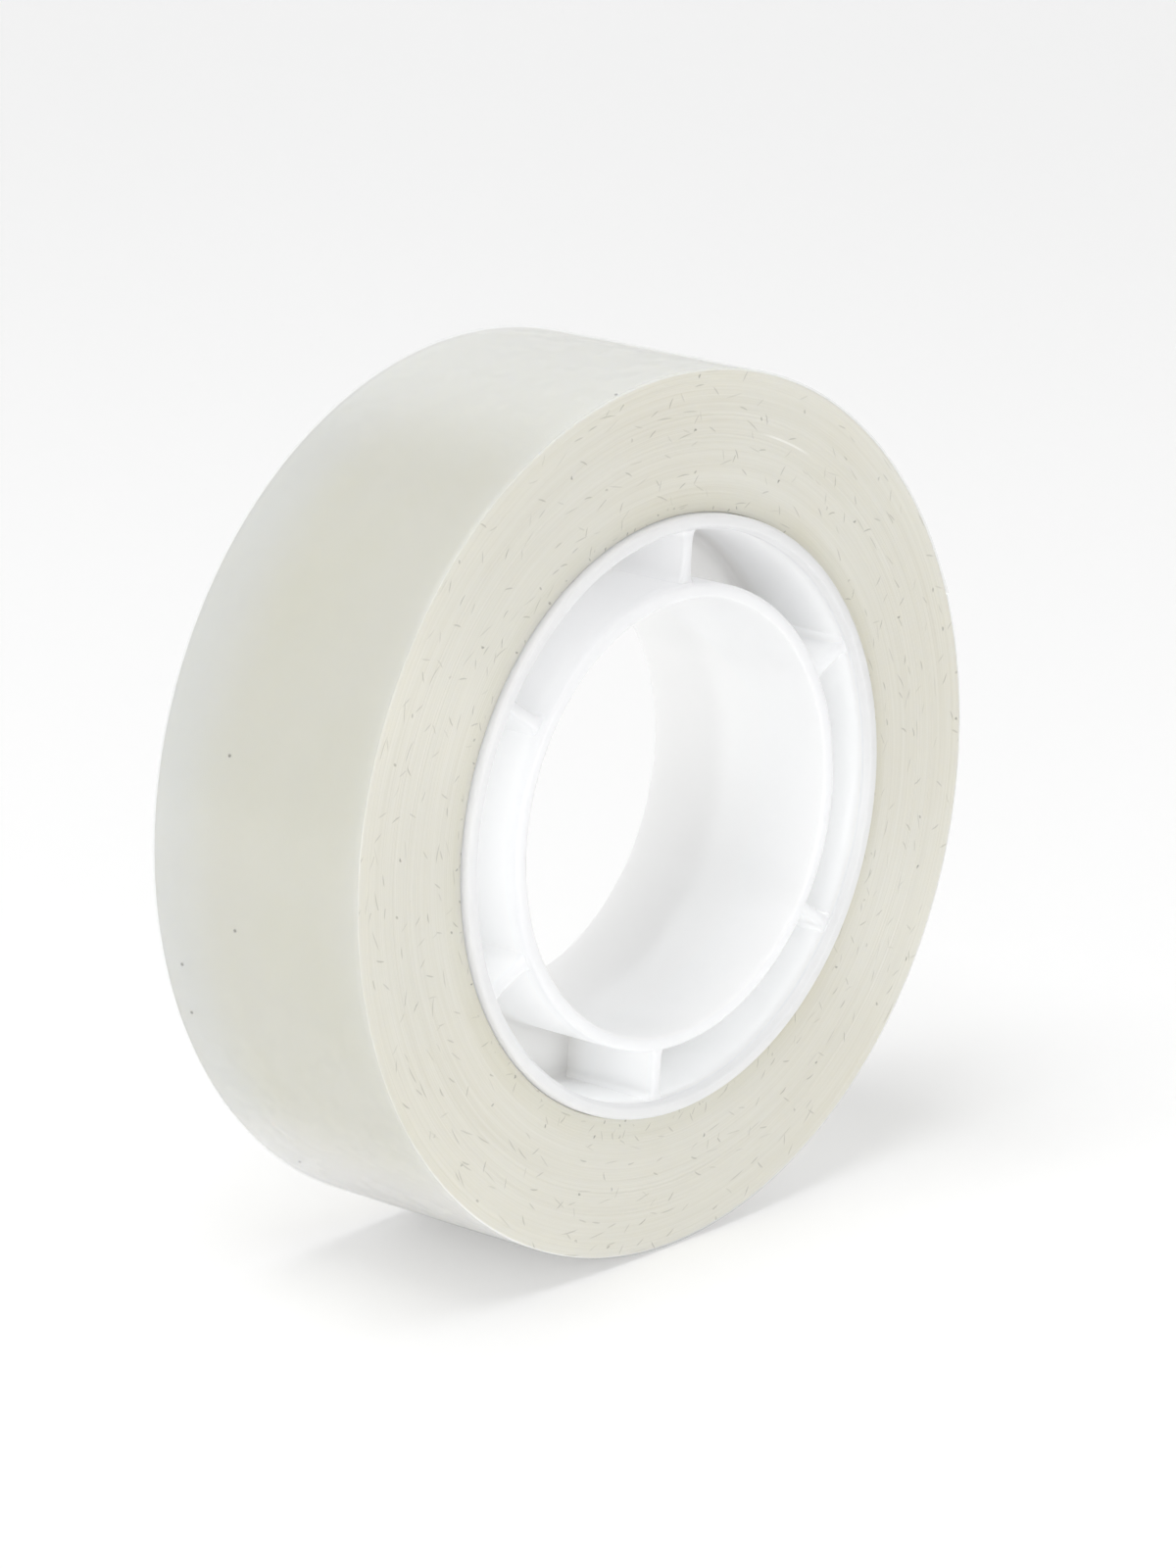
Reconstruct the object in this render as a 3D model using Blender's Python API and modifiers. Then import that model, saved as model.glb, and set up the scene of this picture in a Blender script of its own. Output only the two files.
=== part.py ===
"""Roll of clear adhesive tape on a moulded plastic core.

The roll stands on its rim. Its axis runs along Y through the origin, the open side of the
core faces -Y, and Z is up. All sizes are in metres.

Angles go round the axis from +X towards +Z.
"""

import math

import bmesh
import bpy

# Core moulding
BORE_RADIUS = 0.0127
HUB_WALL = 0.00085
CORE_RADIUS = 0.0175
RIM_WALL = 0.0009
WEB_WALL = 0.0010
EDGE_CHAMFER = 0.00020
RIB_COUNT = 6
RIB_THICKNESS = 0.0007
RIB_SETBACK = 0.0005
FIRST_RIB_DEG = 85.2

# Wound tape, and how far the core's ends stand out of it or short of it
ROLL_RADIUS = 0.0258
TAPE_WIDTH = 0.0158
CORE_PROUD = 0.00055
CORE_BACK_INSET = 0.00115
HUB_BACK_INSET = 0.00305
OUTER_TURN_THICKNESS = 0.0003
TAB_START_DEG = 18.75
TAB_ARC_DEG = 30.0

# Clearances
CLEARANCE = 0.0003

# Facets
SEGMENTS = 96

# Derived places along the axis: the web is halfway along the core
FRONT_Y = -(TAPE_WIDTH + CORE_PROUD) / 2
TAPE_FRONT_Y = FRONT_Y + CORE_PROUD
TAPE_BACK_Y = TAPE_FRONT_Y + TAPE_WIDTH
CORE_BACK_Y = TAPE_BACK_Y - CORE_BACK_INSET
HUB_BACK_Y = TAPE_BACK_Y - HUB_BACK_INSET
WEB_FRONT_Y = (FRONT_Y + CORE_BACK_Y - WEB_WALL) / 2
WEB_BACK_Y = WEB_FRONT_Y + WEB_WALL

# Derived radii
HUB_RADIUS = BORE_RADIUS + HUB_WALL
RIM_INNER_RADIUS = CORE_RADIUS - RIM_WALL
PACK_INNER_RADIUS = CORE_RADIUS + CLEARANCE
TURN_INNER_RADIUS = ROLL_RADIUS - OUTER_TURN_THICKNESS
PACK_OUTER_RADIUS = TURN_INNER_RADIUS - CLEARANCE

# The free end hangs down from its root, so its weight keeps it against the roll.
TAB_ROOT_DEG = TAB_START_DEG + TAB_ARC_DEG
ROOT_GAP_DEG = math.degrees(CLEARANCE / ROLL_RADIUS)
FILM_MIDDLE_RADIUS = ROLL_RADIUS - OUTER_TURN_THICKNESS / 2


def clear_scene():
    for item in list(bpy.data.objects):
        bpy.data.objects.remove(item, do_unlink=True)
    for group in list(bpy.data.collections):
        bpy.data.collections.remove(group)


def new_collection(name):
    group = bpy.data.collections.new(name)
    bpy.context.scene.collection.children.link(group)
    return group


def new_material(name, colour, roughness, alpha=1.0):
    material = bpy.data.materials.new(name)
    material.use_nodes = True
    shader = material.node_tree.nodes["Principled BSDF"]
    shader.inputs["Base Color"].default_value = (*colour, 1.0)
    shader.inputs["Roughness"].default_value = roughness
    shader.inputs["Alpha"].default_value = alpha
    return material


def link_object(name, data, group, material=None):
    item = bpy.data.objects.new(name, data)
    group.objects.link(item)
    if material is not None:
        data.materials.append(material)
    return item


def shade_round(item):
    for polygon in item.data.polygons:
        polygon.use_smooth = True
    item.data.set_sharp_from_angle(angle=math.radians(30))


def turned_solid(name, section, group, material):
    """Turn a closed section of (radius, y) points about the Y axis."""
    mesh = bpy.data.meshes.new(name)
    points = [(radius, y, 0.0) for radius, y in section]
    edges = [(i, (i + 1) % len(points)) for i in range(len(points))]
    mesh.from_pydata(points, edges, [])
    item = link_object(name, mesh, group, material)
    screw = item.modifiers.new("Turn", "SCREW")
    screw.axis = "Y"
    screw.steps = SEGMENTS
    screw.render_steps = SEGMENTS
    screw.use_merge_vertices = True
    screw.merge_threshold = 0.00001
    screw.use_smooth_shade = True
    screw.use_normal_flip = True
    return item


def arc_points(radius, start_deg, end_deg):
    """Points along an arc, on the same facets as the turned solids."""
    facet = 360.0 / SEGMENTS
    angles = [start_deg]
    step = math.floor(start_deg / facet) + 1
    while step * facet < end_deg - facet * 0.05:
        if step * facet > start_deg + facet * 0.05:
            angles.append(step * facet)
        step += 1
    angles.append(end_deg)
    return [(radius * math.cos(math.radians(a)), radius * math.sin(math.radians(a))) for a in angles]


def film_solid(name, start_deg, end_deg, group, material, origin=(0.0, 0.0)):
    """A curved strip of the outermost tape, with its origin at an (x, z) place."""
    outline = arc_points(ROLL_RADIUS, start_deg, end_deg)
    outline += reversed(arc_points(TURN_INNER_RADIUS, start_deg, end_deg))
    curve = bpy.data.curves.new(name, "CURVE")
    curve.dimensions = "2D"
    curve.fill_mode = "BOTH"
    curve.extrude = TAPE_WIDTH / 2
    spline = curve.splines.new("POLY")
    spline.points.add(len(outline) - 1)
    for point, (x, z) in zip(spline.points, outline):
        point.co = (x - origin[0], z - origin[1], 0.0, 1.0)
    spline.use_cyclic_u = True
    item = link_object(name, curve, group, material)
    item.rotation_euler = (math.radians(90), 0.0, 0.0)
    item.location = (origin[0], (TAPE_FRONT_Y + TAPE_BACK_Y) / 2, origin[1])
    return item


def to_mesh(item):
    """Swap a curve object's data for the mesh it makes."""
    bpy.context.view_layer.update()
    graph = bpy.context.evaluated_depsgraph_get()
    mesh = bpy.data.meshes.new_from_object(item.evaluated_get(graph))
    name = item.name
    group = item.users_collection[0]
    place = item.matrix_world.copy()
    bpy.data.objects.remove(item, do_unlink=True)
    solid = link_object(name, mesh, group)
    solid.matrix_world = place
    bm = bmesh.new()
    bm.from_mesh(mesh)
    bmesh.ops.remove_doubles(bm, verts=bm.verts, dist=0.000001)
    bmesh.ops.recalc_face_normals(bm, faces=bm.faces)
    bm.to_mesh(mesh)
    bm.free()
    shade_round(solid)
    return solid


def box_mesh(name, size):
    mesh = bpy.data.meshes.new(name)
    bm = bmesh.new()
    bmesh.ops.create_cube(bm, size=1.0)
    for vert in bm.verts:
        vert.co.x *= size[0]
        vert.co.y *= size[1]
        vert.co.z *= size[2]
    bm.to_mesh(mesh)
    bm.free()
    return mesh


def core_section():
    """Section of the core: hub, web and rim, with chamfered front edges."""
    c = EDGE_CHAMFER
    return [
        (BORE_RADIUS, FRONT_Y + c),
        (BORE_RADIUS + c, FRONT_Y),
        (HUB_RADIUS - c, FRONT_Y),
        (HUB_RADIUS, FRONT_Y + c),
        (HUB_RADIUS, WEB_FRONT_Y),
        (RIM_INNER_RADIUS, WEB_FRONT_Y),
        (RIM_INNER_RADIUS, FRONT_Y + 2 * c),
        (RIM_INNER_RADIUS + c, FRONT_Y),
        (CORE_RADIUS - c, FRONT_Y),
        (CORE_RADIUS, FRONT_Y + c),
        (CORE_RADIUS, CORE_BACK_Y - c),
        (CORE_RADIUS - c, CORE_BACK_Y),
        (RIM_INNER_RADIUS, CORE_BACK_Y),
        (RIM_INNER_RADIUS, WEB_BACK_Y),
        (HUB_RADIUS, WEB_BACK_Y),
        (HUB_RADIUS, HUB_BACK_Y),
        (BORE_RADIUS + c, HUB_BACK_Y),
        (BORE_RADIUS, HUB_BACK_Y - c),
    ]


def add_ribs(core, front_y, back_y, group):
    """Join the radial ribs of one side of the web to the core."""
    inner = HUB_RADIUS - HUB_WALL / 2
    outer = RIM_INNER_RADIUS + RIM_WALL / 2
    middle = (inner + outer) / 2
    mesh = box_mesh("rib", (outer - inner, back_y - front_y, RIB_THICKNESS))
    for index in range(RIB_COUNT):
        angle = math.radians(FIRST_RIB_DEG + index * 360.0 / RIB_COUNT)
        name = "rib_%d_%s" % (index + 1, "front" if front_y < WEB_FRONT_Y else "back")
        rib = link_object(name, mesh, group)
        rib.location = (middle * math.cos(angle), (front_y + back_y) / 2, middle * math.sin(angle))
        rib.rotation_euler = (0.0, -angle, 0.0)
        rib.hide_render = True
        rib.display_type = "WIRE"
        join = core.modifiers.new("Join " + name, "BOOLEAN")
        join.operation = "UNION"
        join.solver = "EXACT"
        join.object = rib


def build_core(parts, cutters):
    material = new_material("core_plastic", (0.87, 0.91, 0.93), 0.35)
    core = turned_solid("core", core_section(), parts, material)
    web_middle = (WEB_FRONT_Y + WEB_BACK_Y) / 2
    add_ribs(core, FRONT_Y + RIB_SETBACK, web_middle, cutters)
    add_ribs(core, web_middle, HUB_BACK_Y - RIB_SETBACK, cutters)
    return core


def build_tape(parts):
    pack_material = new_material("wound_tape", (0.72, 0.70, 0.62), 0.45)
    turn_material = new_material("tape_film", (0.76, 0.76, 0.72), 0.22, 0.9)
    end_material = new_material("tape_end_film", (0.78, 0.78, 0.74), 0.22, 0.9)
    pack_section = [
        (PACK_INNER_RADIUS, TAPE_FRONT_Y),
        (PACK_OUTER_RADIUS, TAPE_FRONT_Y),
        (PACK_OUTER_RADIUS, TAPE_BACK_Y),
        (PACK_INNER_RADIUS, TAPE_BACK_Y),
    ]
    turned_solid("tape_pack", pack_section, parts, pack_material)

    turn_start = TAB_ROOT_DEG + ROOT_GAP_DEG
    turn_end = TAB_START_DEG - ROOT_GAP_DEG + 360.0
    to_mesh(film_solid("outer_turn", turn_start, turn_end, parts, turn_material))

    root = math.radians(TAB_ROOT_DEG)
    hinge = (FILM_MIDDLE_RADIUS * math.cos(root), FILM_MIDDLE_RADIUS * math.sin(root))
    to_mesh(film_solid("tape_end", TAB_START_DEG, TAB_ROOT_DEG, parts, end_material, hinge))


def main():
    clear_scene()
    parts = new_collection("tape_roll")
    cutters = new_collection("cutters")
    build_core(parts, cutters)
    build_tape(parts)


main()
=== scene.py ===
"""Looks of a roll of clear adhesive tape on a moulded white core."""

import math

import bmesh
import bpy
import numpy as np
from mathutils import Matrix, Vector


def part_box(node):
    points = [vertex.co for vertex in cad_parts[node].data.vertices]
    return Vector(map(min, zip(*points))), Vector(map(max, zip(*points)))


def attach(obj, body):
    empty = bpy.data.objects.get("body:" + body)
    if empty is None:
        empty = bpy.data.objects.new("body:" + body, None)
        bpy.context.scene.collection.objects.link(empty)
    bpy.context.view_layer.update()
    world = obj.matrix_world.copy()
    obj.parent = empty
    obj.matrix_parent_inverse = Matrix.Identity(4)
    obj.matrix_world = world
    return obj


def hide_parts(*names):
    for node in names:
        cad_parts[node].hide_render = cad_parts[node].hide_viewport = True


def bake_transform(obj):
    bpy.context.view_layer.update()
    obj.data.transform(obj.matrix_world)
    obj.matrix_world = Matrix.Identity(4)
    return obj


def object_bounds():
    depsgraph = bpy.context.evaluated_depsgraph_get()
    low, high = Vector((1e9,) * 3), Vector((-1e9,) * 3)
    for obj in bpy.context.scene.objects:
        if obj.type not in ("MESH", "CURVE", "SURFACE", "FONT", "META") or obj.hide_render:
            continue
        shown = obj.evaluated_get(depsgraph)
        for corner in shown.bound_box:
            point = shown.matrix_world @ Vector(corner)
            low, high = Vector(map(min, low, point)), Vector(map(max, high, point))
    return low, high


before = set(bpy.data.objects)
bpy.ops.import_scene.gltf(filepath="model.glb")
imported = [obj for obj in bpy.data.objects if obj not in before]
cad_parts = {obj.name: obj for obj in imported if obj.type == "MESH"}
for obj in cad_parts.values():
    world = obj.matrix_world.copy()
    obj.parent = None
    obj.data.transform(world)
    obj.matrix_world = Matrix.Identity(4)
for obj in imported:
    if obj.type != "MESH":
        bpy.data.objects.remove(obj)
cad_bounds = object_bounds()

MM = 0.001
core_low, core_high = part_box("core")
pack_low, pack_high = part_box("tape_pack")
turn_low, turn_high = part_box("outer_turn")

CORE_RADIUS = core_high.x
CORE_FRONT = core_low.y
CORE_BACK = core_high.y
ROLL_RADIUS = turn_high.z
TAPE_FRONT = pack_low.y
TAPE_BACK = pack_high.y

BORE_RADIUS = 12.7 * MM
HUB_WALL = 0.85 * MM
RIM_WALL = 0.9 * MM
HUB_BACK_INSET = 3.05 * MM
WEB_WALL = 1.0 * MM
RIB_COUNT = 6
RIB_THICKNESS = 0.7 * MM
RIB_SETBACK = 0.5 * MM
FIRST_RIB_DEG = 85.2

FILM = 0.05 * MM
TAB_TIP_DEG = 18.75
TAB_SEAM_DEG = 58.0

EDGE_ROUND = 0.22 * MM
ROOT_ROUND = 0.35 * MM
RIB_FLARE = 0.30 * MM
CORE_SEGMENTS = 168
WOUND_SEGMENTS = 256
WOUND_LAYERS = 170
FACE_RECESS = 0.03 * MM
FILM_STEP_DEG = 1.25

# Place of the painted highlight on the side face, in millimetres and degrees.
GLINT_RADIUS = 22.3
GLINT_DEG = 64.0


# ---------------------------------------------------------------- geometry

def mesh_object(name, verts, faces, uvs=None, smooth_deg=40.0):
    """A mesh object from vertices, faces and, where given, one UV per vertex."""
    mesh = bpy.data.meshes.new(name)
    mesh.from_pydata([tuple(v) for v in verts], [], faces)
    if uvs is not None:
        layer = mesh.uv_layers.new(name="UVMap")
        for loop in mesh.loops:
            layer.data[loop.index].uv = uvs[loop.vertex_index]
    mesh.polygons.foreach_set("use_smooth", [True] * len(mesh.polygons))
    mesh.update()
    mesh.set_sharp_from_angle(angle=math.radians(smooth_deg))
    obj = bpy.data.objects.new(name, mesh)
    bpy.context.scene.collection.objects.link(obj)
    return obj


def revolve(profile, segments):
    """Vertices and faces of a closed (radius, y) section turned about Y."""
    verts = []
    faces = []
    count = len(profile)
    for s in range(segments):
        angle = 2 * math.pi * s / segments
        c, k = math.cos(angle), math.sin(angle)
        for r, y in profile:
            verts.append((r * c, y, r * k))
    for s in range(segments):
        t = (s + 1) % segments
        for i in range(count):
            j = (i + 1) % count
            faces.append((s * count + i, t * count + i, t * count + j, s * count + j))
    return verts, faces


def rounded_section(corners, steps=5):
    """Round each (radius, y, fillet) corner of a closed section."""
    out = []
    count = len(corners)
    for i in range(count):
        before = Vector(corners[i - 1][:2])
        here = Vector(corners[i][:2])
        after = Vector(corners[(i + 1) % count][:2])
        fillet = corners[i][2]
        if fillet <= 0:
            out.append((here.x, here.y))
            continue
        u = (before - here).normalized()
        v = (after - here).normalized()
        half = math.acos(max(-1.0, min(1.0, u.dot(v)))) / 2
        reach = fillet / math.tan(half)
        start = here + u * reach
        end = here + v * reach
        centre = here + (u + v).normalized() * (fillet / math.sin(half))
        a = start - centre
        b = end - centre
        sweep = a.angle(b)
        for k in range(steps + 1):
            f = k / steps
            p = (a * math.sin((1 - f) * sweep) + b * math.sin(f * sweep)) / math.sin(sweep)
            out.append(((centre + p).x, (centre + p).y))
    return out


def rib_mesh(name, inner, outer, front, back, walls):
    """Closed radial ribs through the web, with rounded free edges and flared ends."""
    verts, faces = [], []
    radii = np.linspace(inner, outer, 15)
    round_r = EDGE_ROUND
    for index in range(RIB_COUNT):
        angle = math.radians(FIRST_RIB_DEG + index * 360.0 / RIB_COUNT)
        c, k = math.cos(angle), math.sin(angle)
        base = len(verts)
        for r in radii:
            near = max(min(r - walls[0], walls[1] - r), 0.0)
            half = RIB_THICKNESS / 2 + RIB_FLARE * math.exp(-near / EDGE_ROUND)
            outline = []
            for sx, sy, y in ((-1, 1, front), (1, 1, front), (1, -1, back), (-1, -1, back)):
                arc = [math.pi / 2 * i / 4 for i in range(5)]
                if (sx, sy) in ((1, 1), (-1, -1)):
                    arc.reverse()
                for t in arc:
                    x = sx * (half - round_r * (1 - math.cos(t)))
                    outline.append((x, y + sy * round_r * (1 - math.sin(t))))
            count = len(outline)
            for x, y in outline:
                verts.append((c * r - k * x, y, k * r + c * x))
        for i in range(len(radii) - 1):
            for j in range(count):
                a = base + i * count + j
                b = base + i * count + (j + 1) % count
                faces.append((a, b, b + count, a + count))
        faces.append(tuple(range(base, base + count)))
        last = base + (len(radii) - 1) * count
        faces.append(tuple(reversed(range(last, last + count))))
    return mesh_object(name, verts, faces)


def outward(obj):
    bm = bmesh.new()
    bm.from_mesh(obj.data)
    bmesh.ops.recalc_face_normals(bm, faces=bm.faces)
    bm.to_mesh(obj.data)
    bm.free()


def build_core():
    """The moulded core: rim, hub, web and ribs as one closed body."""
    hub = BORE_RADIUS + HUB_WALL
    rim = CORE_RADIUS - RIM_WALL
    web_front = (CORE_FRONT + CORE_BACK - WEB_WALL) / 2
    web_back = web_front + WEB_WALL
    hub_back = TAPE_BACK - HUB_BACK_INSET
    edge = EDGE_ROUND
    root = ROOT_ROUND
    corners = [
        (BORE_RADIUS, CORE_FRONT, edge),
        (hub, CORE_FRONT, edge),
        (hub, web_front, root),
        (rim, web_front, root),
        (rim, CORE_FRONT + 0.35 * MM, 0.1 * MM),
        (rim + 0.25 * MM, CORE_FRONT, 0.1 * MM),
        (CORE_RADIUS, CORE_FRONT, edge),
        (CORE_RADIUS, CORE_BACK, edge),
        (rim, CORE_BACK, edge),
        (rim, web_back, root),
        (hub, web_back, root),
        (hub, hub_back, edge),
        (BORE_RADIUS, hub_back, edge),
    ]
    verts, faces = revolve(rounded_section(corners, 4), CORE_SEGMENTS)
    body = mesh_object("core_moulding", verts, faces)
    ribs = rib_mesh(
        "core_ribs", hub - 0.3 * MM, rim + 0.3 * MM,
        CORE_FRONT + RIB_SETBACK, hub_back - RIB_SETBACK, (hub, rim),
    )
    outward(body)
    outward(ribs)
    join = body.modifiers.new("join", "BOOLEAN")
    join.operation = "UNION"
    join.solver = "EXACT"
    join.object = ribs
    bpy.context.view_layer.update()
    graph = bpy.context.evaluated_depsgraph_get()
    made = bpy.data.meshes.new_from_object(body.evaluated_get(graph))
    body.modifiers.clear()
    body.data = made
    bpy.data.objects.remove(ribs, do_unlink=True)
    made.polygons.foreach_set("use_smooth", [True] * len(made.polygons))
    made.set_sharp_from_angle(angle=math.radians(35))
    return body


def layer_offsets(count, seed):
    """Small random steps of the slit edges, like turns that don't quite line up."""
    rng = np.random.default_rng(seed)
    fine = rng.normal(0.0, 1.0, count)
    broad = np.convolve(rng.normal(0.0, 1.0, count + 24), np.ones(25) / 5.0, mode="valid")
    return 0.006 * MM * fine + 0.010 * MM * broad


def build_wound():
    """The wound turns: two slit faces with fine relief, a smooth outside and an inside."""
    inner = CORE_RADIUS + 0.02 * MM
    outer = ROLL_RADIUS - 0.13 * MM
    count = WOUND_LAYERS
    radii = np.linspace(inner + 0.05 * MM, outer - 0.04 * MM, count)
    front = layer_offsets(count, 11)
    back = layer_offsets(count, 12)
    section = [(inner, TAPE_FRONT + 0.12 * MM)]
    section += [(r, TAPE_FRONT + FACE_RECESS + max(d, -FACE_RECESS)) for r, d in zip(radii, front)]
    section += [(outer, TAPE_FRONT + 0.08 * MM)]
    section += [(outer, y) for y in np.linspace(TAPE_FRONT + 0.5 * MM, TAPE_BACK - 0.5 * MM, 9)]
    section += [(outer, TAPE_BACK - 0.08 * MM)]
    section += [(r, TAPE_BACK - FACE_RECESS - max(d, -FACE_RECESS)) for r, d in zip(radii[::-1], back)]
    section += [(inner, TAPE_BACK - 0.12 * MM)]
    verts, faces = revolve(section, WOUND_SEGMENTS)
    return mesh_object("wound_turns", verts, faces, smooth_deg=75)


def film_strip(name, start_deg, end_deg, radius_at, lift_at):
    """A thin curved strip of film with real thickness."""
    steps = max(8, int(abs(end_deg - start_deg) / FILM_STEP_DEG))
    ys = np.concatenate([
        [TAPE_FRONT + 0.02 * MM, TAPE_FRONT + 0.06 * MM],
        np.linspace(TAPE_FRONT + 0.3 * MM, TAPE_BACK - 0.3 * MM, 11),
        [TAPE_BACK - 0.06 * MM, TAPE_BACK - 0.02 * MM],
    ])
    verts, faces, uvs = [], [], []
    for side in (0, 1):
        for i in range(steps + 1):
            deg = start_deg + (end_deg - start_deg) * i / steps
            for y in ys:
                r = radius_at(deg) + lift_at(deg, y) - side * FILM
                a = math.radians(deg)
                verts.append((r * math.cos(a), y, r * math.sin(a)))
                uvs.append((math.radians(deg) * ROLL_RADIUS / MM, (y - TAPE_FRONT) / MM))
    n = len(ys)
    layer = (steps + 1) * n
    for i in range(steps):
        for j in range(n - 1):
            a = i * n + j
            faces.append((a, a + 1, a + n + 1, a + n))
            b = layer + a
            faces.append((b, b + n, b + n + 1, b + 1))
    for i in range(steps):
        a = i * n
        faces.append((a, a + n, layer + a + n, layer + a))
        b = i * n + n - 1
        faces.append((b, layer + b, layer + b + n, b + n))
    for j in range(n - 1):
        faces.append((j, layer + j, layer + j + 1, j + 1))
        b = steps * n + j
        faces.append((b, b + 1, layer + b + 1, layer + b))
    return mesh_object(name, verts, faces, uvs, smooth_deg=50)


def build_outer_film():
    """The outermost turn, from the seam round to the cut edge of the free end."""
    start, end = TAB_SEAM_DEG, TAB_TIP_DEG + 359.9

    def radius_at(deg):
        return ROLL_RADIUS - 0.06 * MM * (deg - start) / (end - start)

    return film_strip("outer_film", start, end, radius_at, lambda deg, y: 0.0)


def build_free_film():
    """The free end: it lies on the roll, with its cut edge just lifted."""
    def lift_at(deg, y):
        share = max(0.0, 1.0 - (deg - TAB_TIP_DEG) / 6.0)
        across = (y - TAPE_FRONT) / (TAPE_BACK - TAPE_FRONT)
        return share * share * (0.10 + 0.25 * across ** 3) * MM

    return film_strip("free_film", TAB_TIP_DEG, TAB_SEAM_DEG, lambda deg: ROLL_RADIUS, lift_at)


# ---------------------------------------------------------------- materials

class Nodes:
    """Short helpers for building one material's node tree."""

    def __init__(self, name):
        self.material = bpy.data.materials.new(name)
        self.material.use_nodes = True
        self.tree = self.material.node_tree
        self.shader = self.tree.nodes["Principled BSDF"]

    def add(self, kind, inputs=None, **settings):
        node = self.tree.nodes.new(kind)
        for key, value in settings.items():
            setattr(node, key, value)
        for key, value in (inputs or {}).items():
            self.put(node.inputs[key], value)
        return node

    def put(self, socket, value):
        if isinstance(value, bpy.types.NodeSocket):
            self.tree.links.new(value, socket)
        elif isinstance(value, bpy.types.Node):
            self.tree.links.new(value.outputs[0], socket)
        else:
            socket.default_value = value

    def math(self, operation, a, b=0.0, c=0.0, clamp=False):
        node = self.add("ShaderNodeMath", {0: a, 1: b, 2: c}, operation=operation)
        node.use_clamp = clamp
        return node.outputs[0]

    def mix(self, factor, a, b, blend="MIX"):
        node = self.add("ShaderNodeMix", data_type="RGBA", blend_type=blend)
        self.put(node.inputs[0], factor)
        self.put(node.inputs[6], a)
        self.put(node.inputs[7], b)
        return node.outputs[2]

    def span(self, value, low, high, out_low=0.0, out_high=1.0, smooth=True):
        node = self.add(
            "ShaderNodeMapRange",
            {"Value": value, "From Min": low, "From Max": high, "To Min": out_low, "To Max": out_high},
            interpolation_type="SMOOTHSTEP" if smooth else "LINEAR",
        )
        node.clamp = True
        return node.outputs[0]

    def noise(self, vector, scale, detail=2.0, rough=0.5):
        return self.add(
            "ShaderNodeTexNoise",
            {"Vector": vector, "Scale": scale, "Detail": detail, "Roughness": rough},
        ).outputs[0]

    def polar(self):
        """Radius, angle and axial place of the shading point, in millimetres and radians."""
        place = self.add("ShaderNodeTexCoord").outputs["Object"]
        parts = self.add("ShaderNodeSeparateXYZ", {0: place})
        x = self.math("MULTIPLY", parts.outputs[0], 1000.0)
        y = self.math("MULTIPLY", parts.outputs[1], 1000.0)
        z = self.math("MULTIPLY", parts.outputs[2], 1000.0)
        square = self.math("ADD", self.math("MULTIPLY", x, x), self.math("MULTIPLY", z, z))
        radius = self.math("SQRT", square)
        angle = self.math("ARCTAN2", z, x)
        return radius, angle, y

    def vector(self, x, y, z):
        return self.add("ShaderNodeCombineXYZ", {0: x, 1: y, 2: z}).outputs[0]

    def set(self, **values):
        for key, value in values.items():
            self.put(self.shader.inputs[key.replace("_", " ")], value)


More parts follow.
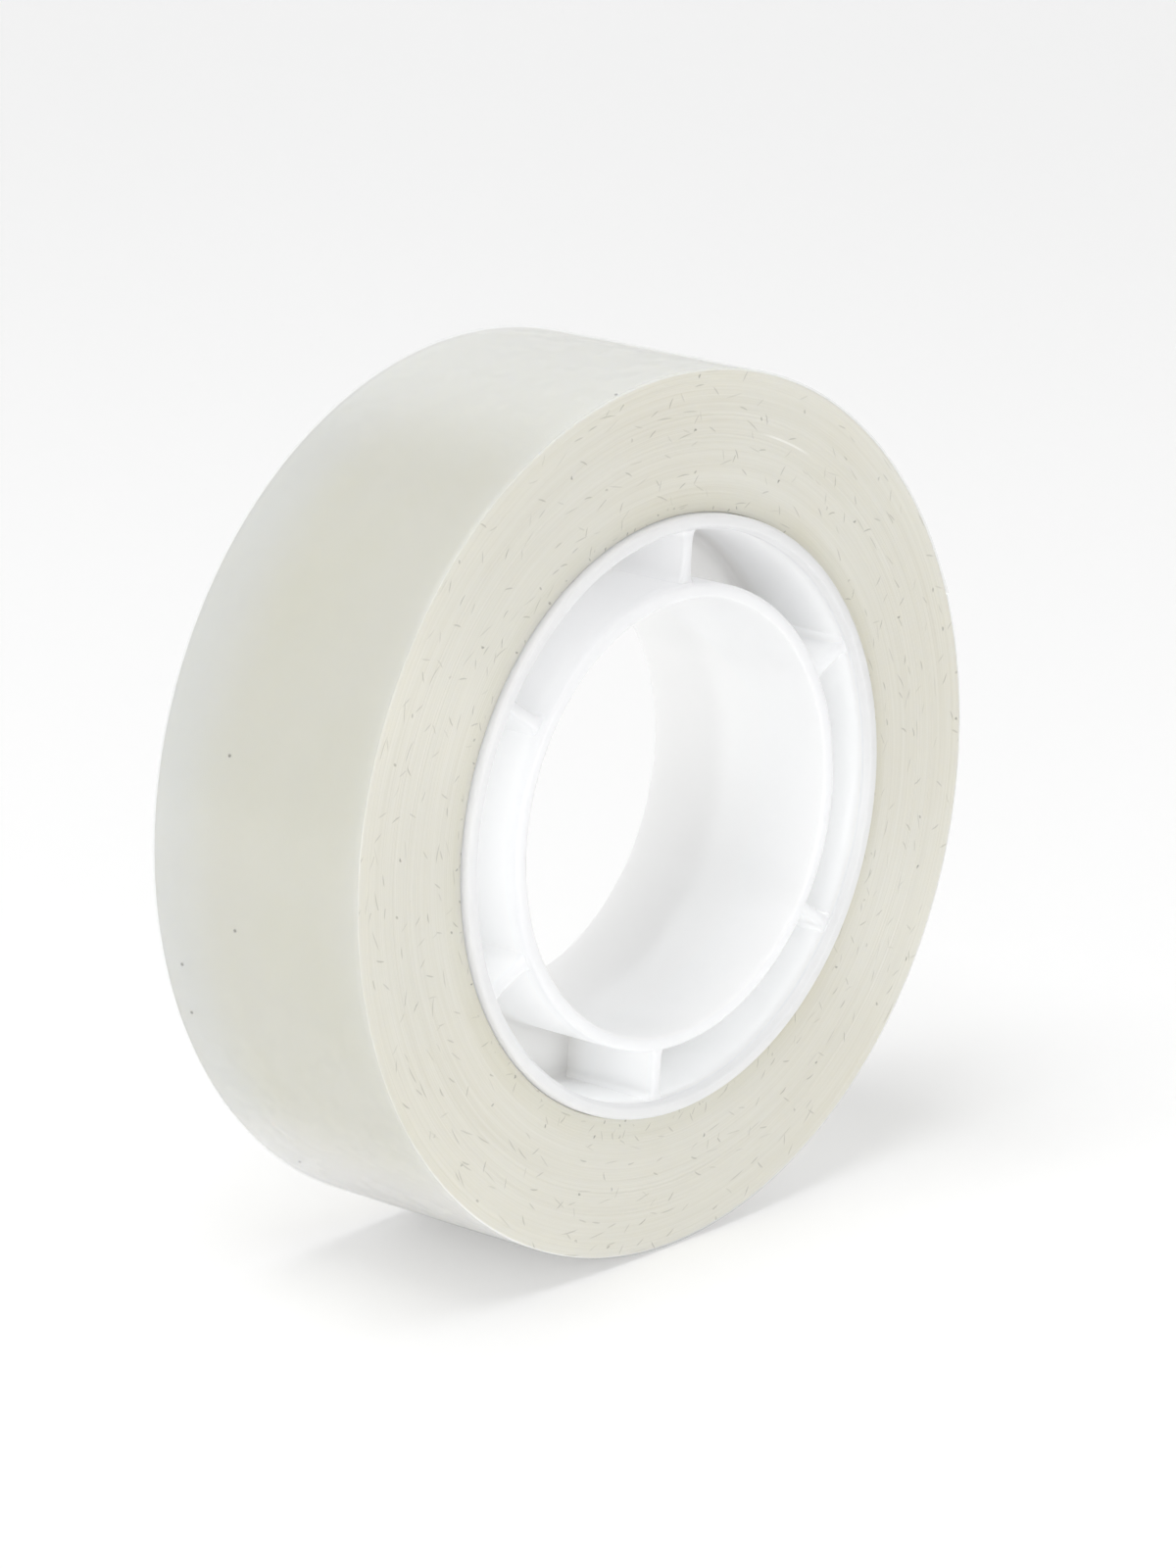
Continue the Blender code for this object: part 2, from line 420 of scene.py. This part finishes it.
def core_material():
    """Milky plastic. It glows in the pockets and the bore, in place of light through its walls.

    The darker top and the darker depth of the pockets are painted shade.
    """
    n = Nodes("core_plastic_look")
    place = n.add("ShaderNodeTexCoord").outputs["Object"]
    radius, angle, depth = n.polar()
    cloud = n.noise(place, 260.0, 3.0)
    grain = n.noise(place, 5200.0, 2.0, 0.6)
    behind_lip = n.span(depth, CORE_FRONT / MM + 0.1, CORE_FRONT / MM + 1.2)
    in_bore = n.span(radius, BORE_RADIUS / MM + 0.2, BORE_RADIUS / MM + 0.02)
    past_hub = n.span(radius, (BORE_RADIUS + HUB_WALL) / MM - 0.25, (BORE_RADIUS + HUB_WALL) / MM - 0.05)
    in_rim = n.span(radius, CORE_RADIUS / MM - 0.2, (CORE_RADIUS - RIM_WALL) / MM + 0.1)
    in_pocket = n.math("MULTIPLY", n.math("MULTIPLY", behind_lip, past_hub), in_rim)
    # Lit and shaded copies of one plastic: the lighter colour in the pockets and bore is painted light,
    # the greyer front faces painted shade.
    white = n.mix(n.span(cloud, 0.3, 0.7), (0.945, 0.957, 0.964, 1.0), (0.962, 0.972, 0.979, 1.0))
    lip = n.mix(n.span(cloud, 0.3, 0.7), (0.845, 0.855, 0.885, 1.0), (0.870, 0.880, 0.905, 1.0))
    colour = n.mix(n.math("MAXIMUM", in_pocket, in_bore), lip, white)
    # Painted shade: the upper part of the core is mixed towards grey.
    high = n.span(n.math("SINE", angle), 0.2, 1.0)
    colour = n.mix(n.math("MULTIPLY", high, 0.65), colour, (0.76, 0.76, 0.77, 1.0))
    # Painted shade: the pocket insides darken with depth.
    painted_pocket_shade = n.math("MULTIPLY", in_pocket, n.span(depth, CORE_FRONT / MM + 4.5, CORE_FRONT / MM + 7.3))
    colour = n.mix(n.math("MULTIPLY", painted_pocket_shade, 0.8), colour, (0.76, 0.75, 0.73, 1.0))
    # Painted light: emission in the pockets and bore, strongest by the rim near the front, in place of
    # light through the thin walls.
    by_rim = n.span(radius, (CORE_RADIUS - RIM_WALL) / MM - 0.5, (CORE_RADIUS - RIM_WALL) / MM - 0.05)
    shallow = n.span(depth, CORE_FRONT / MM + 1.0, CORE_FRONT / MM + 7.5, 1.0, 0.35)
    glow = n.math("MULTIPLY_ADD", n.math("MULTIPLY", by_rim, shallow), 0.28, 0.05)
    glow = n.math("MULTIPLY", in_pocket, glow)
    far_in = n.span(depth, CORE_FRONT / MM + 1.5, CORE_FRONT / MM + 11.0, 0.0, 0.13)
    glow = n.math("ADD", glow, n.math("MULTIPLY", in_bore, far_in))
    rough = n.span(cloud, 0.3, 0.7, 0.30, 0.40)
    bump = n.add("ShaderNodeBump", {"Strength": 0.10, "Distance": 0.00002, "Height": grain})
    n.set(Base_Color=colour, Roughness=rough, Normal=bump)
    n.shader.inputs["Subsurface Weight"].default_value = 1.0
    n.shader.inputs["Subsurface Radius"].default_value = (1.0, 1.0, 1.0)
    n.shader.inputs["Subsurface Scale"].default_value = 0.0035
    n.set(Emission_Color=colour, Emission_Strength=glow)
    return n.material


def strokes(n, across, along, cell, chance, half_length, half_width, seed, turn):
    """Short, slightly bent strokes, one to a cell, as a 0 to 1 mask."""
    spot = n.vector(n.math("ADD", across, seed), n.math("ADD", along, seed * 0.37), 0.0)
    cells = n.add("ShaderNodeTexVoronoi", {"Vector": spot, "Scale": 1.0 / cell}, voronoi_dimensions="2D")
    pick = n.add("ShaderNodeSeparateColor", {0: cells.outputs["Color"]})
    local = n.add("ShaderNodeVectorMath", {0: spot, 1: cells.outputs["Position"]}, operation="SUBTRACT")
    angle = n.math("MULTIPLY", n.math("SUBTRACT", pick.outputs[1], 0.5), turn)
    turned = n.add(
        "ShaderNodeVectorRotate", {"Vector": local.outputs[0], "Angle": angle}, rotation_type="Z_AXIS",
    )
    parts = n.add("ShaderNodeSeparateXYZ", {0: turned.outputs[0]})
    x = n.math("DIVIDE", parts.outputs[0], half_length)
    bend = n.math("MULTIPLY", n.math("SUBTRACT", pick.outputs[2], 0.5), 2.4)
    y = n.math("DIVIDE", parts.outputs[1], half_width)
    y = n.math("ADD", y, n.math("MULTIPLY", bend, n.math("MULTIPLY", x, x)))
    reach = n.math("SQRT", n.math("ADD", n.math("MULTIPLY", x, x), n.math("MULTIPLY", y, y)))
    mask = n.span(reach, 0.45, 1.0, 1.0, 0.0)
    kept = n.math("LESS_THAN", pick.outputs[0], chance)
    strength = n.math("MULTIPLY_ADD", pick.outputs[2], 0.7, 0.3)
    return n.math("MULTIPLY", n.math("MULTIPLY", mask, kept), strength)


def wound_material():
    """Slit edges on the side faces and a softer look on the outside.

    The lighter top and bottom of the outside are painted light, and the one glint is a painted
    highlight.
    """
    n = Nodes("wound_tape_look")
    radius, angle, y = n.polar()
    direction = n.vector(n.math("COSINE", angle), n.math("SINE", angle), 0.0)
    outside = n.span(radius, ROLL_RADIUS / MM - 0.22, ROLL_RADIUS / MM - 0.16)

    def rings(per_mm, wander, seed):
        spot = n.add("ShaderNodeVectorMath", {0: direction}, operation="SCALE")
        spot.inputs["Scale"].default_value = wander
        shift = n.vector(0.0, 0.0, n.math("MULTIPLY_ADD", radius, per_mm, seed))
        both = n.add("ShaderNodeVectorMath", {0: spot.outputs[0], 1: shift}, operation="ADD")
        return n.noise(both.outputs[0], 1.0, 2.0, 0.55)

    fine = rings(14.0, 2.2, 3.1)
    medium = rings(4.0, 1.2, 17.7)
    broad = rings(0.8, 0.9, 41.3)
    lines = n.math("MULTIPLY_ADD", fine, 0.55, n.math("MULTIPLY", medium, 0.45))

    near_core = n.span(radius, CORE_RADIUS / MM + 0.2, CORE_RADIUS / MM + 1.9, 1.0, 0.0)
    face = n.mix(n.span(lines, 0.3, 0.7), (0.695, 0.675, 0.585, 1.0), (0.750, 0.732, 0.652, 1.0))
    face = n.mix(n.math("MULTIPLY", near_core, 0.50), face, (0.640, 0.612, 0.468, 1.0))
    moved = n.add("ShaderNodeVectorMath", {0: direction, 1: (7.7, 2.1, 0.0)}, operation="ADD")
    patch = n.noise(moved.outputs[0], 1.6, 2.0)
    face = n.mix(n.math("MULTIPLY", n.span(patch, 0.35, 0.7), 0.35), face, (0.735, 0.735, 0.680, 1.0))
    face = n.mix(n.math("MULTIPLY", n.span(broad, 0.4, 0.75), 0.20), face, (0.770, 0.765, 0.700, 1.0))

    arc_length = n.math("MULTIPLY", angle, 21.5)
    hairs = strokes(n, arc_length, radius, 1.15, 0.42, 0.42, 0.060, 3.0, 2.6)
    threads = strokes(n, arc_length, radius, 1.9, 0.45, 0.75, 0.055, 57.0, 0.9)
    grit = strokes(n, arc_length, radius, 2.6, 0.30, 0.16, 0.090, 91.0, 6.0)
    dirt = strokes(n, arc_length, radius, 0.8, 0.45, 0.16, 0.080, 133.0, 6.0)
    seat = n.span(radius, CORE_RADIUS / MM + 0.25, CORE_RADIUS / MM + 0.75, 1.0, 0.0)
    dark = n.math("MAXIMUM", n.math("MULTIPLY", hairs, 0.42), n.math("MULTIPLY", threads, 0.34))
    dark = n.math("MAXIMUM", dark, n.math("MULTIPLY", grit, 0.75))
    dark = n.math("MAXIMUM", dark, n.math("MULTIPLY", n.math("MULTIPLY", dirt, seat), 0.75))
    dark = n.math("MULTIPLY", dark, n.span(radius, CORE_RADIUS / MM + 0.04, CORE_RADIUS / MM + 0.10))
    face = n.mix(dark, face, (0.22, 0.21, 0.17, 1.0))

    # Painted highlight: a short bright arc on one turn of the side face.
    off_turn = n.math("ABSOLUTE", n.math("SUBTRACT", radius, GLINT_RADIUS))
    off_arc = n.math("ABSOLUTE", n.math("SUBTRACT", angle, math.radians(GLINT_DEG)))
    glint_turn = n.span(off_turn, 0.03, 0.09, 1.0, 0.0)
    glint_arc = n.span(off_arc, 0.04, 0.12, 1.0, 0.0)
    glint = n.math("MULTIPLY", glint_turn, glint_arc)
    face = n.mix(n.math("MULTIPLY", glint, 0.75), face, (0.90, 0.89, 0.84, 1.0))

    mid = n.span(n.math("ABSOLUTE", n.math("ADD", y, 1.5)), 3.5, 9.0)
    side = n.mix(mid, (0.680, 0.670, 0.560, 1.0), (0.705, 0.715, 0.685, 1.0))
    cloud = n.noise(n.vector(n.math("MULTIPLY", angle, 2.0), n.math("MULTIPLY", y, 0.12), 0.0), 1.3, 2.0)
    side = n.mix(n.math("MULTIPLY", n.span(cloud, 0.3, 0.7), 0.30), side, (0.70, 0.69, 0.65, 1.0))
    # Painted light: the bottom of the outside is mixed towards near white.
    low = n.span(n.math("SINE", angle), -0.50, -0.85)
    side = n.mix(n.math("MULTIPLY", low, 0.9), side, (0.95, 0.94, 0.92, 1.0))
    # Painted light: the top of the outside is mixed lighter.
    high = n.span(n.math("SINE", angle), 0.82, 1.0)
    side = n.mix(n.math("MULTIPLY", high, 0.9), side, (0.88, 0.885, 0.84, 1.0))
    colour = n.mix(outside, face, side)

    height = n.math("SUBTRACT", lines, n.math("MULTIPLY", dark, 1.5))
    height = n.math("MULTIPLY", height, n.math("SUBTRACT", 1.0, outside))
    bump = n.add("ShaderNodeBump", {"Strength": 0.40, "Distance": 0.00003, "Height": height})
    rough = n.mix(outside, (0.42, 0.42, 0.42, 1.0), (0.30, 0.30, 0.30, 1.0))
    rough = n.add("ShaderNodeSeparateColor", {0: rough}).outputs[0]
    n.set(Base_Color=colour, Roughness=rough, Normal=bump)
    n.put(n.shader.inputs["Tangent"], n.add("ShaderNodeTangent", direction_type="RADIAL", axis="Y"))
    n.shader.inputs["Specular IOR Level"].default_value = 0.8
    n.shader.inputs["Anisotropic"].default_value = 0.9
    n.shader.inputs["Anisotropic Rotation"].default_value = 0.25
    n.shader.inputs["Subsurface Weight"].default_value = 0.30
    n.shader.inputs["Subsurface Radius"].default_value = (1.2, 1.1, 0.8)
    n.shader.inputs["Subsurface Scale"].default_value = 0.0020
    return n.material


def film_material():
    n = Nodes("tape_film_look")
    uv = n.add("ShaderNodeTexCoord").outputs["UV"]
    ripple = n.noise(uv, 0.35, 2.0, 0.5)
    dust = n.add("ShaderNodeTexVoronoi", {"Vector": uv, "Scale": 0.31}, voronoi_dimensions="2D")
    chance = n.add("ShaderNodeSeparateColor", {0: dust.outputs["Color"]}).outputs[0]
    dot = n.span(dust.outputs["Distance"], 0.015, 0.04, 1.0, 0.0)
    mote = n.math("MULTIPLY", dot, n.math("GREATER_THAN", chance, 0.95))
    colour = n.mix(mote, (0.88, 0.89, 0.88, 1.0), (0.30, 0.29, 0.26, 1.0))
    rough = n.span(ripple, 0.3, 0.7, 0.22, 0.34)
    bump = n.add("ShaderNodeBump", {"Strength": 0.12, "Distance": 0.00005, "Height": ripple})
    alpha = n.math("MULTIPLY_ADD", mote, 0.55, 0.13)
    n.set(Base_Color=colour, Roughness=rough, Normal=bump, Alpha=alpha)
    n.shader.inputs["Coat Weight"].default_value = 0.5
    n.shader.inputs["Coat Roughness"].default_value = 0.16
    return n.material


# ---------------------------------------------------------------- stage

def floor_material(bend_start):
    """Pale floor whose backdrop glows a little more, so that both look equally white."""
    n = Nodes("floor_look")
    place = n.add("ShaderNodeTexCoord").outputs["Object"]
    away = n.add("ShaderNodeSeparateXYZ", {0: place}).outputs[1]
    glow = n.span(away, bend_start * 0.3, bend_start + 0.35, 0.18, 0.40)
    n.set(Base_Color=(0.93, 0.93, 0.93, 1.0), Roughness=0.9, Emission_Strength=glow)
    n.shader.inputs["Emission Color"].default_value = (1.0, 1.0, 1.0, 1.0)
    return n.material


def build_stage():
    """A pale floor that curves up into a backdrop, behind the roll as the camera sees it."""
    depth, width, height, bend = 1.1, 2.4, 1.2, 0.35
    section = [(-1.4, 0.0), (depth - bend, 0.0)]
    for k in range(1, 17):
        t = math.pi / 2 * k / 16
        section.append((depth - bend + bend * math.sin(t), bend - bend * math.cos(t)))
    section.append((depth, height))
    verts, faces = [], []
    for u, z in section:
        for s in (-width / 2, width / 2):
            verts.append((s, u, z))
    for i in range(len(section) - 1):
        a = 2 * i
        faces.append((a, a + 1, a + 3, a + 2))
    floor = mesh_object("floor", verts, faces, smooth_deg=60)
    floor.rotation_euler = (0.0, 0.0, CAMERA_AZIMUTH)
    floor.location = (0.0, 0.0, cad_bounds[0].z - 0.0001)
    floor.data.materials.append(floor_material(depth - bend))


def area_light(name, place, target, size, power, colour=(1.0, 1.0, 1.0)):
    data = bpy.data.lights.new(name, "AREA")
    data.shape = "RECTANGLE"
    data.size, data.size_y = size
    data.energy = power
    data.color = colour
    lamp = bpy.data.objects.new(name, data)
    bpy.context.scene.collection.objects.link(lamp)
    lamp.location = place
    lamp.rotation_euler = (Vector(target) - Vector(place)).to_track_quat("-Z", "Y").to_euler()
    return lamp


CAMERA_AZIMUTH = math.radians(-47.84)
CAMERA_ELEVATION = math.radians(16.36)
CAMERA_DISTANCE = 16.0 * 0.02576
FOCAL_PIXELS = 7424.0
FRAME_HEIGHT = 1600.0
AIM_RIGHT, AIM_DOWN = 93.6, 35.6


def camera_axes():
    a, e = CAMERA_AZIMUTH, CAMERA_ELEVATION
    right = Vector((math.cos(a), math.sin(a), 0.0))
    forward = Vector((-math.sin(a) * math.cos(e), math.cos(a) * math.cos(e), -math.sin(e)))
    return right, forward, right.cross(forward)


def build_camera():
    right, forward, up = camera_axes()
    data = bpy.data.cameras.new("camera")
    data.sensor_width = 36.0
    data.lens = FOCAL_PIXELS / FRAME_HEIGHT * data.sensor_width
    data.clip_start, data.clip_end = 0.01, 20.0
    camera = bpy.data.objects.new("camera", data)
    bpy.context.scene.collection.objects.link(camera)
    sideways = AIM_RIGHT / FOCAL_PIXELS * CAMERA_DISTANCE
    downwards = AIM_DOWN / FOCAL_PIXELS * CAMERA_DISTANCE
    focus = Vector((0.0, CORE_FRONT, 0.0))
    place = focus - right * sideways + up * downwards - forward * CAMERA_DISTANCE
    turn = Matrix((right, up, -forward)).transposed().to_4x4()
    camera.matrix_world = Matrix.Translation(place) @ turn
    bpy.context.scene.camera = camera


def build_lights():
    """A white dome, a strong soft light above, and weaker ones at the camera, left and in front."""
    world = bpy.data.worlds.new("world")
    bpy.context.scene.world = world
    world.use_nodes = True
    world.node_tree.nodes["Background"].inputs[0].default_value = (1.0, 1.0, 1.0, 1.0)
    world.node_tree.nodes["Background"].inputs[1].default_value = 0.46
    back = -camera_axes()[1]
    centre = Vector((0.0, 0.0, 0.0))
    for name, direction, distance, size, share in (
        ("key", back, 0.80, (0.30, 0.30), 0.07),
        ("above", Vector((-0.34, -0.06, 0.94)), 0.60, (0.40, 0.40), 0.45),
        ("left", Vector((-0.88, -0.45, 0.00)), 0.60, (0.30, 0.06), 0.14),
        ("front", Vector((0.14, -0.98, 0.01)), 0.60, (0.08, 0.08), 0.16),
    ):
        power = share * math.pi * math.pi * distance * distance
        area_light(name, direction.normalized() * distance, centre, size, power)


core = build_core()
wound = build_wound()
outer_film = build_outer_film()
free_film = build_free_film()

core.data.materials.append(core_material())
wound.data.materials.append(wound_material())
film_look = film_material()
outer_film.data.materials.append(film_look)
free_film.data.materials.append(film_look)

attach(core, "roll")
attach(wound, "roll")
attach(outer_film, "roll")
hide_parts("core")
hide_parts("tape_pack")
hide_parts("outer_turn")
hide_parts("tape_end")


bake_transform(free_film)

build_stage()
build_lights()
build_camera()
bpy.context.scene.view_settings.view_transform = "Standard"
bpy.context.scene.view_settings.look = "None"
